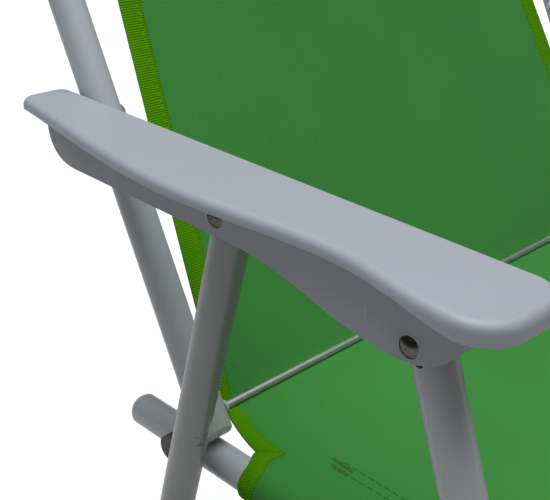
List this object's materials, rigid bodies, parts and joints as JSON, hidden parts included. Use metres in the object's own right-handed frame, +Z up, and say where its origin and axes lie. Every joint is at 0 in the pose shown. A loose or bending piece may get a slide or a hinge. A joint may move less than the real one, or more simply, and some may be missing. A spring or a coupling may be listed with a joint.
{
  "type": "folding camp chair",
  "caption": "Folding camp chair of white bent tube with moulded armrests, a green cloth sling seat and back with bound edges, and legs that fold under the arms.",
  "frame": {"origin": "middle of the bounding box, on the floor", "axes": "+Z up, the chair faces -Y, the sitter's right is -X"},
  "size_m": [0.6104, 0.6174, 0.8514],
  "materials": {
    "armrest_plastic": "smooth pale white moulding, slight sheen",
    "nickel_rivet": "bright nickel plate",
    "steel_rod": "bright drawn wire",
    "green_fabric": "fine ribbed weave, lime bound edges",
    "dark_plastic": "dark brown-black, dull",
    "white_paint": "white enamel, a few scuffs",
    "white_plastic": "white moulding"
  },
  "bodies": {
    "armrests": {"armrest_right": "armrest_plastic", "armrest_left": "armrest_plastic", "rear_leg_rivets": "nickel_rivet", "front_leg_rivets": "nickel_rivet", "back_rivets": "nickel_rivet", "back_washers": "white_plastic"},
    "back": {"back_frame": "white_paint", "back_foot_cap_right": "white_plastic", "back_foot_cap_left": "white_plastic", "crease_rod": "steel_rod", "back_fabric": "green_fabric"},
    "seat": {"seat_frame": "white_paint", "rail_plug_right": "white_plastic", "rail_plug_left": "white_plastic", "hinge_bracket_right": "white_paint", "hinge_bracket_left": "white_paint", "seat_fabric": "green_fabric"},
    "rear_legs": {"rear_leg_frame": "white_paint", "rear_leg_plug_right": "white_plastic", "rear_leg_plug_left": "white_plastic", "leg_bumper_right": "dark_plastic", "leg_bumper_left": "dark_plastic", "rear_foot_right": "white_plastic", "rear_foot_left": "white_plastic"},
    "front_legs": {"front_leg_frame": "white_paint", "front_leg_plug_right": "white_plastic", "front_leg_plug_left": "white_plastic", "rail_rest_right": "white_plastic", "rail_rest_left": "white_plastic", "front_foot_right": "white_plastic", "front_foot_left": "white_plastic"}
  },
  "joints": [
    {"name": "rear_leg_fold", "type": "hinge", "parent": "armrests", "child": "rear_legs", "pos_m": [0, 0.02649, 0.5764], "axis": [1, 0, 0], "range_deg": [0, 70]},
    {"name": "front_leg_fold", "type": "hinge", "parent": "armrests", "child": "front_legs", "pos_m": [0, -0.08781, 0.5564], "axis": [1, 0, 0], "range_deg": [0, 104]},
    {"name": "back_fold", "type": "hinge", "parent": "armrests", "child": "back", "pos_m": [0, 0.16394, 0.586], "axis": [-1, 0, 0], "range_deg": [0, 65]},
    {"name": "seat_fold", "type": "hinge", "parent": "back", "child": "seat", "pos_m": [0, 0.07916, 0.42452], "axis": [-1, 0, 0], "range_deg": [0, 114]}
  ],
  "couplings": [
    {"joint": "front_leg_fold", "follows": "rear_leg_fold", "ratio": 1.4857},
    {"joint": "back_fold", "follows": "rear_leg_fold", "ratio": 0.9285},
    {"joint": "seat_fold", "follows": "rear_leg_fold", "ratio": 1.6285}
  ]
}
